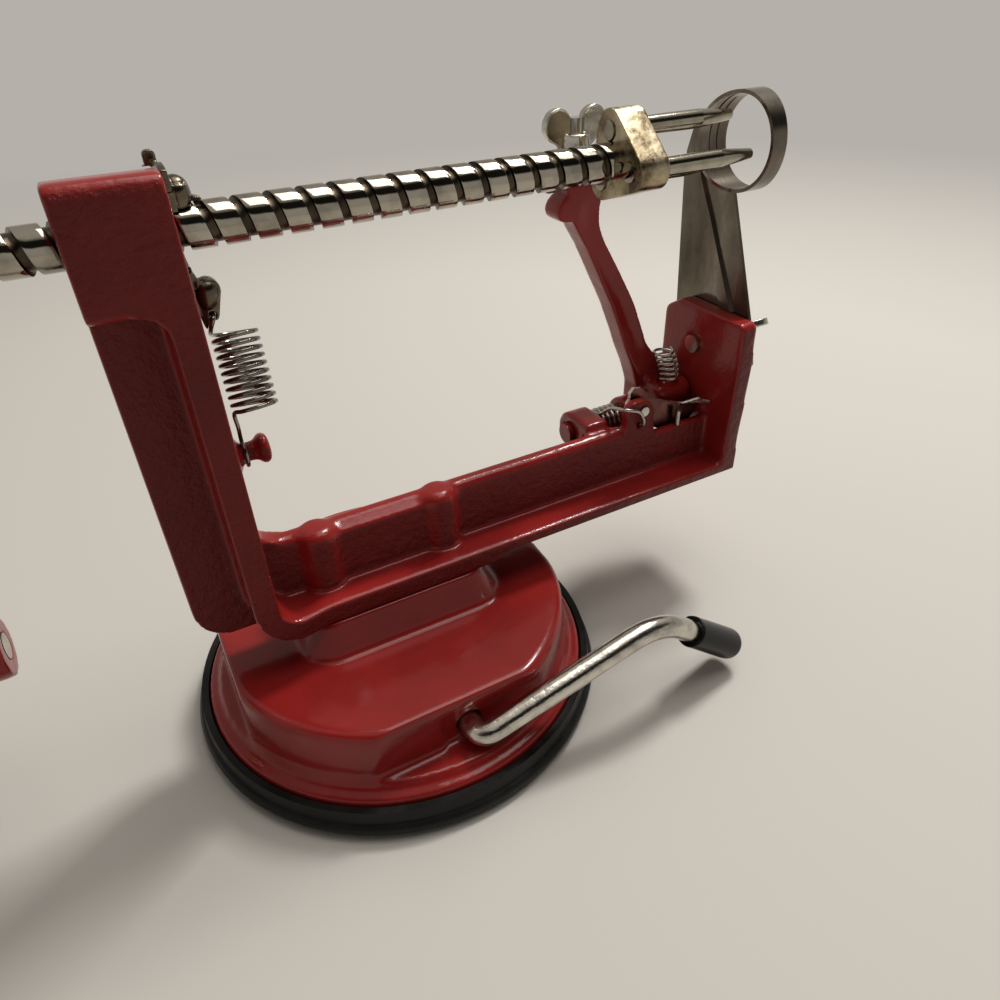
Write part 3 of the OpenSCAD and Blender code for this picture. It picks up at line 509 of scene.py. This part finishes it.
def frame_piece():
    body = cast_copy("main_frame", voxel=0.7, rounds=5, rough=0.08, size=2.2, panels=True,
                     form=thin_flange)
    x, y, z = points(body).T / MM
    columns = (x > -27) & (x < 54) & (y < 0.5) & (z > 44) & (z < 63)
    soften(body, columns, 22)
    u = np.linspace(0, 1, 14)
    path = [(ROOT_X + ROOT_LEN * v, STUD[1], STUD[2]) for v in u]
    join(body, [sweep("stud_root", path, ROOT_NECK + ROOT_FLARE * (1 - u) ** 1.3, 32)])


# Peeling arm: its side lines, height then place
ARM_LEFT = [(69, 90.4), (79, 87), (89.8, 82.4), (99.5, 77.4), (108, 73), (113.6, 69.4)]
ARM_RIGHT = [(65, 104), (70, 101), (79, 98), (89.8, 93.4), (99.5, 87.8), (108.9, 82), (118.9, 77.2),
             (125, 75.6)]
ARM_SHIFT = 0.9
ARM_SLIM = 3.2
CROWN_FRONT = 1.5
CROWN_BACK = 1.0
NOSE_X = 67.5
NOSE_Z = 121
NOSE_SHRINK = 0.3


def slim_arm(p):
    """The arm is a slim bar with a rounded front and a small nose."""
    x, y, z = p.T.copy()
    shank = step(z, 66, 78) * (1 - step(z, 112, 124))
    left = np.interp(z, *np.array(ARM_LEFT).T)
    right = np.interp(z, *np.array(ARM_RIGHT).T)
    u = np.clip((x - left) / (right - left), 0, 1)
    middle = (y.min() + y.max()) / 2
    bow = 1 - (2 * u - 1) ** 2
    p[:, 0] = x - shank * (ARM_SHIFT + ARM_SLIM * u)
    p[:, 1] = y - shank * bow * np.where(y < middle, CROWN_FRONT, -CROWN_BACK)
    nose = step(70.5 - x, 0, 3) * (1 - step(z, 121.5, 126)) * step(z, 108, 112)
    p[:, 0] += nose * NOSE_SHRINK * (NOSE_X - x)
    p[:, 2] += nose * NOSE_SHRINK * (NOSE_Z - z)
    return p


# Fork hub, a little smaller than its solid
HUB = np.array((69, 0, SHAFT_Z))
HUB_SCALE = (0.86, 0.96, 0.96)


def shrink_hub(p):
    return (p - HUB) * HUB_SCALE + HUB


# Feed latch: small rounded saddle and thumb tab, and a tail peg that ends in a drop
SADDLE = np.array((-28, 0.8, 138.2))
SADDLE_HALF = np.array((3.6, 4.2, 3.6))
SADDLE_ROOT_X = -30.4
SADDLE_DEPTH = 0.74
TAB_TALL = 5
TAB_LOWER = 0.45
TAB_THIN = 0.35
TAB_X = -30
TAIL_FROM = np.array((-28, -2.4, 119.5))
TAIL_TO = np.array((-27.8, -2.4, 121.2))
TAIL_SCALE = np.array((0.8, 1.55, 0.8))
DROP_LOW = np.array((-29.1, -2.4, 115.4))
DROP_TOP = np.array((-27.4, -2.6, 123.6))
DROP_R = 2.45


def trim_latch(p):
    """Rounds the saddle off, except for its tooth, then lowers the tab and shapes the tail."""
    x, y, z = p.T.copy()
    tooth = (1 - step(z, 137.2, 138)) * (abs(y) < 1.2) * (x > -27)
    near = (1 - step(np.hypot(y, z - SHAFT_Z), 10, 11)) * (z > 133)
    saddle = step(x, -29.6, -28.9) * near * (1 - tooth)
    q = (p - SADDLE) / SADDLE_HALF
    round_off = (abs(q).max(axis=1) / np.maximum(np.linalg.norm(q, axis=1), 1e-6)) ** 0.85
    ball = SADDLE + SADDLE_HALF * q * round_off[:, None]
    ball[:, 0] = SADDLE_ROOT_X + SADDLE_DEPTH * (ball[:, 0] - SADDLE_ROOT_X)
    p += saddle[:, None] * (ball - p)
    tab_z = z.max() - TAB_TALL
    tab = step(y, 6, 6.8) * step(z, tab_z - 0.2, tab_z + 0.4)
    p[:, 2] -= tab * TAB_LOWER * (z - tab_z)
    p[:, 0] += tab * TAB_THIN * (TAB_X - x)
    tail = step(p[:, 0], -30.2, -29.2) * (p[:, 2] < 123.5)
    p += tail[:, None] * (TAIL_TO + TAIL_SCALE * (p - TAIL_FROM) - p)
    return p


def latch_piece():
    latch = cast_copy("feed_latch", voxel=0.22, rounds=12, form=trim_latch)
    u = np.linspace(0, 1, 24)
    path = [DROP_LOW + (DROP_TOP - DROP_LOW) * v for v in u]
    join(latch, [sweep("drop", path, 0.05 + DROP_R * np.sin(np.pi * u ** 1.5) ** 0.62, 24)])


# Arm catch: lower and upper line of the CAD plate, and of the bowed one
CATCH_X = [80, 84, 88, 94, 100, 104.5, 107.2]
CATCH_LOW = [62, 60.4, 58, 55, 53.6, 55, 57.8]
CATCH_TOP = [68.2, 69.2, 65.7, 62.05, 59.7, 58.8, 59.4]
BOWED_LOW = [62, 60.4, 55.4, 52, 51, 53.4, 57.6]
BOWED_TOP = [68.2, 69.2, 65.7, 62.1, 60.2, 61.6, 60.7]


def bow_catch(p):
    """The plate dips low in the middle and its tip bows forward over the web."""
    x, y, z = p.T
    low, top, new_low, new_top = (np.interp(x, CATCH_X, line)
                                  for line in (CATCH_LOW, CATCH_TOP, BOWED_LOW, BOWED_TOP))
    bowed = new_low + (z - low) / (top - low) * (new_top - new_low)
    p[:, 2] = np.where(x > 85.5, bowed, z)
    p[:, 1] = y - 0.6 * np.clip(x - 99, 0, 9) * step(p[:, 2], 58.9, 60.2)
    return p


def catch_piece():
    """One steel in two copies: the faces are tinted dark red as a painted reflection of the red frame,
    and the edges are brighter as a painted highlight.
    """
    plate = cast_copy("arm_trigger", voxel=0.2, rounds=2, form=bow_catch)
    plate.data.materials.append(CATCH_LIT_EDGE)
    # Faces that look to the front or back take the painted reflection, the others the painted highlight
    for face in plate.data.polygons:
        face.material_index = int(abs(face.normal.y) < 0.8)


# Pivot rod, cut short at its left end
PIVOT_X0 = 64.4


def pivot_piece():
    rod = copy_of("arm_pivot_rod", "pivot_pin")
    move(rod, np.maximum(points(rod), (PIVOT_X0 * MM, -1, -1)))
    adopt(rod, "arm_pivot_rod")
    shade(rod)


# Feed shaft
SHAFT_SIDES = 72
PLAIN_LEFT = 14
PLAIN_RIGHT = 0.6


def groove_rows():
    """Place along one turn and depth, across the groove and the land behind it."""
    half = GROOVE_W / 2
    wall = [(0.16, 0), (0.03, 0.05), (-0.05, 0.8), (-0.16, GROOVE_DEEP)]
    rows = [(-half - at, deep) for at, deep in wall]
    rows.append((0, GROOVE_DEEP))
    rows += [(half + at, deep) for at, deep in reversed(wall)]
    return rows + [(2.1, 0), (3.2, 0), (4.3, 0)]


def on_shaft(x, j, r):
    a = 2 * math.pi * j / SHAFT_SIDES
    return (x * MM, -r * math.sin(a) * MM, (SHAFT_Z + r * math.cos(a)) * MM)


def shaft_piece():
    """The mesh runs along the groove, so that its edges stay crisp."""
    x0, x1 = (corner.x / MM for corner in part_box("drive_shaft"))
    lo, hi = x0 + PLAIN_LEFT, x1 - PLAIN_RIGHT
    rows = groove_rows()
    turns = range(math.floor((lo - TOOTH_X) / LEAD) - 2, math.ceil((hi - TOOTH_X) / LEAD) + 2)
    track = [(TOOTH_X + n * LEAD + at, deep) for n in turns for at, deep in rows]
    n = SHAFT_SIDES
    verts = []
    for at, deep in track:
        for j in range(n):
            x = at + LEAD * j / n
            inside = lo < x < hi
            verts.append(on_shaft(min(max(x, lo), hi), j, SHAFT_R - (deep if inside else 0)))
    faces = []
    for i in range(len(track) - 1):
        for j in range(n):
            k = i if j + 1 < n else i + len(rows)
            if k + 1 < len(track):
                faces.append((i * n + j, (i + 1) * n + j, (k + 1) * n + (j + 1) % n, k * n + (j + 1) % n))
    for a, b in ((x0, lo), (hi, x1)):
        base = len(verts)
        verts += [on_shaft(x, j, SHAFT_R) for x in (a, b) for j in range(n)]
        for j in range(n):
            k = (j + 1) % n
            faces.append((base + j, base + n + j, base + n + k, base + k))
        end = range(base, base + n) if a == x0 else range(base + 2 * n - 1, base + n - 1, -1)
        faces.append(tuple(end))
    shaft = mesh_object("feed_shaft", verts, faces)
    weld(shaft, 1e-7)
    shade(shaft, 50)
    adopt(shaft, "drive_shaft")
    # The groove floors take the dark steel, painted shade in the grooves
    shaft.data.materials.append(GROOVE_PAINTED_SHADE)
    for face in shaft.data.polygons:
        sunk = math.hypot(face.center.y, face.center.z - SHAFT_Z * MM) < (SHAFT_R - 0.3) * MM
        face.material_index = int(sunk and len(face.vertices) == 4)


# Lever rod
LEVER_RUN = 53.5
LEVER_RISE = 13.4
TIP_RUN = 66.5
TIP_RISE = 2.8
BEND_R = 4.4
TIP_BEND_R = 20
DISC_R = 6
PIN_R = 2.4
PIN_OFF = 1.838


def lever_piece():
    """One bent bar, with the eccentric that lifts the cup."""
    corner = [(LEVER_X, -12, LEVER_Z), (LEVER_X, LEVER_Y, LEVER_Z),
              (LEVER_X + LEVER_RUN, LEVER_Y, LEVER_Z + LEVER_RISE),
              (LEVER_X + TIP_RUN, LEVER_Y, LEVER_Z + TIP_RISE)]
    bar = [corner[0], (LEVER_X, -30, LEVER_Z)]
    bar += bend(*corner[:3], BEND_R) + bend(*corner[1:], TIP_BEND_R)
    bar.append(corner[3])
    lever = sweep("lever_bar", bar, LEVER_R, 32)
    disc = sweep("disc", [(LEVER_X, -11.5, LEVER_Z), (LEVER_X, -8.5, LEVER_Z)], DISC_R, 32)
    pin = sweep("pin", [(LEVER_X + PIN_OFF, y, LEVER_Z - PIN_OFF) for y in (-9, 6)], PIN_R, 32)
    adopt(join(lever, [disc, pin]), "lever_rod")


# Path points in one turn of a spring
TURN_POINTS = 8

# Latch spring: hooked in the tail's eyelet, leaning coil, hooked round the stud
EYELET = np.array((-28.1, -2.4, 116.4))
EYELET_HOOK = ((0, 1.9, 0), (0, -1.2, 0.1), (-0.4, -2.6, -0.4), (-1.0, -2.2, -1.8))
COIL_IN = np.array((-29.3, -2.6, 112.8))
COIL_TOP = np.array((-24.5, 0.8, 111.0))
COIL_LOW = np.array((-24.7, -5.8, 95.8))
COIL_OUT = np.array((-29.1, -5.4, 92.4))
COIL_R = 4.5
COIL_TURNS = 10
COIL_WIRE = 0.9
HOOK_R = 2.9
HOOK_FROM = 85
HOOK_TO = 405
HOOK_STEP = 40


def latch_coil():
    axis = (COIL_TOP - COIL_LOW) / np.linalg.norm(COIL_TOP - COIL_LOW)
    out = np.array((1.0, 0, 0)) - axis * axis[0]
    out /= np.linalg.norm(out)
    over = np.cross(axis, out)
    path = [EYELET + v for v in EYELET_HOOK]
    path.append(COIL_IN)
    steps = COIL_TURNS * TURN_POINTS
    for i in range(steps + 1):
        a = math.pi - 2 * math.pi * i / TURN_POINTS
        centre = COIL_TOP + (COIL_LOW - COIL_TOP) * i / steps
        path.append(centre + COIL_R * (out * math.cos(a) + over * math.sin(a)))
    path.append(COIL_OUT)
    for a in np.radians(np.arange(HOOK_FROM, HOOK_TO, HOOK_STEP)):
        path.append(STUD + HOOK_R * np.array((0, math.cos(a), math.sin(a))))
    adopt(sweep("latch_coil", spline(path), COIL_WIRE / 2, 12), "latch_spring")


# Arm spring: from an eye in the web, over the pivot and under the arm's foot
ARM_WIRE = 1.1
ARM_TURNS = 4.5
EYE_X = 82.2
EYE_Z = 58.8
LEFT_EAR_X = 73.6
RIGHT_EAR_X = 84.4


def arm_coil():
    half = ARM_WIRE / 2
    r = 3 + half + 0.8
    x0, x1 = LEFT_EAR_X + half + 0.7, RIGHT_EAR_X - half - 0.9
    front = -WEB_FRONT - half - 0.5
    under = PIVOT_Z - 6.2 - half - 0.25
    path = [(EYE_X, 2 - WEB_FRONT, EYE_Z), (EYE_X, -0.2 - WEB_FRONT, EYE_Z), (EYE_X, front, EYE_Z + 0.9),
            (EYE_X - 0.3, front - 0.3, EYE_Z + 2.6), (EYE_X - 2.4, front - 0.4, EYE_Z + 5.8),
            (x0 + 1, front + 1, EYE_Z + 6.8), (x0 + 0.3, WEB_FRONT, EYE_Z + 5),
            (x0, PIVOT_Y - 3.4, PIVOT_Z + r + 0.8)]
    steps = int(ARM_TURNS * TURN_POINTS)
    for i in range(steps + 1):
        a = math.pi / 2 - 2 * math.pi * i / TURN_POINTS
        path.append((x0 + (x1 - x0) * i / steps, PIVOT_Y + r * math.cos(a), PIVOT_Z + r * math.sin(a)))
    path += [(x1 + 0.8, PIVOT_Y - 1.8, under + 0.7), (x1 + 2.2, PIVOT_Y - 2.2, under),
             (x1 + 9, PIVOT_Y - 2.2, under)]
    adopt(sweep("arm_coil", spline(path), half, 12), "arm_spring")


# Bumper spring on the arm's foot
BUMPER_X = 101
BUMPER_Y = PIVOT_Y - 2.4
BUMPER_R = 3.1
BUMPER_TURNS = 6
BUMPER_WIRE = 0.9
BUMPER_LEAN = 3.4


def bumper_coil():
    low, high = PIVOT_Z + 9.5 + BUMPER_WIRE / 2, PIVOT_Z + 20.4
    steps = BUMPER_TURNS * TURN_POINTS
    path = []
    for i in range(steps + 1):
        a = 2 * math.pi * i / TURN_POINTS
        u = i / steps
        path.append((BUMPER_X - BUMPER_LEAN * u * u + BUMPER_R * math.cos(a),
                     BUMPER_Y + BUMPER_R * math.sin(a), low + (high - low) * u))
    adopt(sweep("bumper_coil", spline(path), BUMPER_WIRE / 2, 12), "bumper_spring")


# Blade: flat strip with a raised pleat, curling into a ring that is wider at its far side
RIM_FRONT = 3.3
RIM_BACK = 2.0
PLEAT_LEFT = [(22.4, 130.5), (20.8, 120.3), (14.5, 107.2), (9.1, 97.5), (3.9, 87)]
PLEAT_RIGHT = [(18.2, 130.5), (17.0, 122.6), (10.2, 110.5), (4.7, 100.1), (-2.4, 87)]
PLEAT_RISE = 0.95
HOOP_R = 0.3


def pleat(face_x):
    """Raised strip between two lines on the blade's face."""
    root, top = face_x + 0.1, face_x - PLEAT_RISE
    section = ((root, 0), (top, 0.16), (top, 0.84), (root, 1))
    verts = []
    for (ya, za), (yb, zb) in zip(spline(PLEAT_LEFT, 6), spline(PLEAT_RIGHT, 6)):
        for x, u in section:
            verts.append((x * MM, (ya + (yb - ya) * u) * MM, (za + (zb - za) * u) * MM))
    rows = len(verts) // 4
    faces = []
    for i in range(rows - 1):
        for k in range(4):
            n = (k + 1) % 4
            faces.append((i * 4 + k, i * 4 + n, (i + 1) * 4 + n, (i + 1) * 4 + k))
    faces += [(3, 2, 1, 0), tuple((rows - 1) * 4 + k for k in range(4))]
    return mesh_object("pleat", verts, faces)


def hoop(name, x, end):
    """Crease inside the ring, fading out at both ends."""
    turn = np.radians(np.linspace(-48, end, 40))
    r = RING_R - BLADE_T
    fade = 0.05 + (HOOP_R - 0.05) * np.sin(np.linspace(0, math.pi, len(turn))) ** 0.5
    return sweep(name, [(x, r * math.cos(b), SHAFT_Z + r * math.sin(b)) for b in turn], fade, 8)


def blade_piece():
    blade = copy_of("corer_blade", "blade_strip")
    p = points(blade) / MM
    ring_x0, blade_x1 = p[:, 0].min(), p[:, 0].max()
    blade_x0 = blade_x1 - BLADE_T
    from_axis = np.hypot(p[:, 1], p[:, 2] - SHAFT_Z)
    to_side = p[:, 1] / np.maximum(from_axis, 1e-6)
    band = (from_axis > RING_R - BLADE_T - 0.1) & (from_axis < RING_R + 0.1)
    front = band & (p[:, 0] < ring_x0 + 0.2)
    back = band & (p[:, 0] > blade_x1 - 0.1)
    p[front, 0] -= RIM_FRONT * np.clip(to_side[front], 0, 1)
    p[back, 0] -= RIM_BACK * np.clip(-to_side[back], 0, 1)
    p[~band & (p[:, 0] < blade_x0 - 0.02), 0] = blade_x0 - 0.02
    move(blade, p * MM)
    hoops = [hoop("hoop_a", ring_x0 + 0.9, 72), hoop("hoop_b", ring_x0 + 3.4, 60)]
    adopt(join(blade, [pleat(blade_x0), *hoops]), "corer_blade")
    edit(blade, lambda bm: bmesh.ops.recalc_face_normals(bm, faces=bm.faces))
    shade(blade, 25)


# Stage, camera and light, in metres
FLOOR = 8
CAMERA_AT = Vector((-45.456, -155.302, 169.421)) * MM
AZIMUTH = -0.4816
ELEVATION = 0.6102
ROLL = -0.0352
LENS = 27.03
AIM = Vector((0.03, 0, 0.05))


def stage_floor():
    """Pale floor that runs into the pale horizon."""
    corners = [(-FLOOR, -FLOOR, 0), (FLOOR, -FLOOR, 0), (FLOOR, FLOOR, 0), (-FLOOR, FLOOR, 0)]
    floor = mesh_object("floor", corners, [(0, 1, 2, 3)])
    m, t, b = material("stage_pale", PALE, 0, 0.8)
    b.inputs["Specular IOR Level"].default_value = 0.15
    far = t.nodes.new("ShaderNodeVectorMath")
    far.operation = "LENGTH"
    link(t, coords(t), far.inputs[0])
    glow = t.nodes.new("ShaderNodeEmission")
    glow.inputs["Color"].default_value = (*PALE, 1)
    blend = t.nodes.new("ShaderNodeMixShader")
    link(t, span(t, far.outputs["Value"], 0.35, 0.9, 0, 1), blend.inputs["Fac"])
    link(t, b.outputs["BSDF"], blend.inputs[1])
    link(t, glow.outputs["Emission"], blend.inputs[2])
    link(t, blend.outputs["Shader"], t.nodes["Material Output"].inputs["Surface"])
    paint(floor, m)


def place_camera():
    level = math.cos(ELEVATION)
    forward = Vector((-math.sin(AZIMUTH) * level, math.cos(AZIMUTH) * level, -math.sin(ELEVATION)))
    right = forward.cross(Vector((0, 0, 1))).normalized()
    up = right.cross(forward)
    cam_x = math.cos(ROLL) * right + math.sin(ROLL) * up
    cam_y = -math.sin(ROLL) * right + math.cos(ROLL) * up
    data = bpy.data.cameras.new("camera")
    data.lens = LENS
    data.sensor_width = 36
    data.clip_start = 0.005
    cam = bpy.data.objects.new("camera", data)
    turn = Matrix((cam_x, cam_y, -forward)).transposed()
    cam.matrix_world = Matrix.Translation(CAMERA_AT) @ turn.to_4x4()
    bpy.context.scene.collection.objects.link(cam)
    bpy.context.scene.camera = cam


def area(name, place, size, power):
    data = bpy.data.lights.new(name, "AREA")
    data.shape = "RECTANGLE"
    data.size, data.size_y = size
    data.energy = power
    data.color = WARM
    obj = bpy.data.objects.new(name, data)
    obj.location = place
    obj.rotation_euler = (AIM - Vector(place)).to_track_quat("-Z", "Y").to_euler()
    bpy.context.scene.collection.objects.link(obj)


def studio_world():
    """Pale horizon all round, bright overhead, and a dim patch high up in front."""
    world = bpy.data.worlds.new("studio")
    bpy.context.scene.world = world
    world.use_nodes = True
    t = world.node_tree
    direction = t.nodes.new("ShaderNodeSeparateXYZ")
    link(t, t.nodes.new("ShaderNodeTexCoord").outputs["Generated"], direction.inputs["Vector"])
    y, z = direction.outputs["Y"], direction.outputs["Z"]
    sky = ramp(t, span(t, z, -1, 1, 0, 1),
               [(0.0, PALE), (0.6, PALE), (0.75, (0.40, 0.37, 0.33)), (1.0, (0.5, 0.47, 0.43))])
    height = math_node(t, "MULTIPLY", span(t, z, 0.30, 0.40, 0, 1), span(t, z, 0.78, 0.92, 1, 0))
    dim = math_node(t, "MULTIPLY", span(t, y, 0.0, -0.35, 0, 1), height)
    background = t.nodes["Background"]
    link(t, sky, background.inputs["Color"])
    link(t, span(t, dim, 0, 1, 1.0, 0.03), background.inputs["Strength"])


for name, obj in nodes.items():
    paint(obj, FINISH.get(name, NICKEL))

frame_piece()
cast_copy("base_housing", voxel=0.8, rounds=7)
cast_copy("peeler_arm", voxel=0.6, rounds=14, rough=0.03, form=slim_arm)
cast_copy("crank_arm", voxel=0.6, rounds=8, rough=0.03)
cast_copy("fork_hub", voxel=0.3, rounds=3, rough=0.02, size=1.8, form=shrink_hub)
cast_copy("blade_wing_nut", voxel=0.25, rounds=4)
cast_copy("arm_wing_nut", voxel=0.22, rounds=4)
latch_piece()
pivot_piece()
catch_piece()
cast_copy("lever_tip", voxel=0.3, rounds=4)
shaft_piece()
lever_piece()
latch_coil()
arm_coil()
bumper_coil()
blade_piece()

for obj in nodes.values():
    if not obj.hide_render:
        shade(obj)

stage_floor()
place_camera()
area("key", place=(0.60, 0.25, 1.0), size=(0.22, 0.22), power=10.5)
area("ceiling", place=(0.35, 0.05, 1.15), size=(0.9, 0.7), power=6.5)
studio_world()
bpy.context.scene.view_settings.view_transform = "Standard"
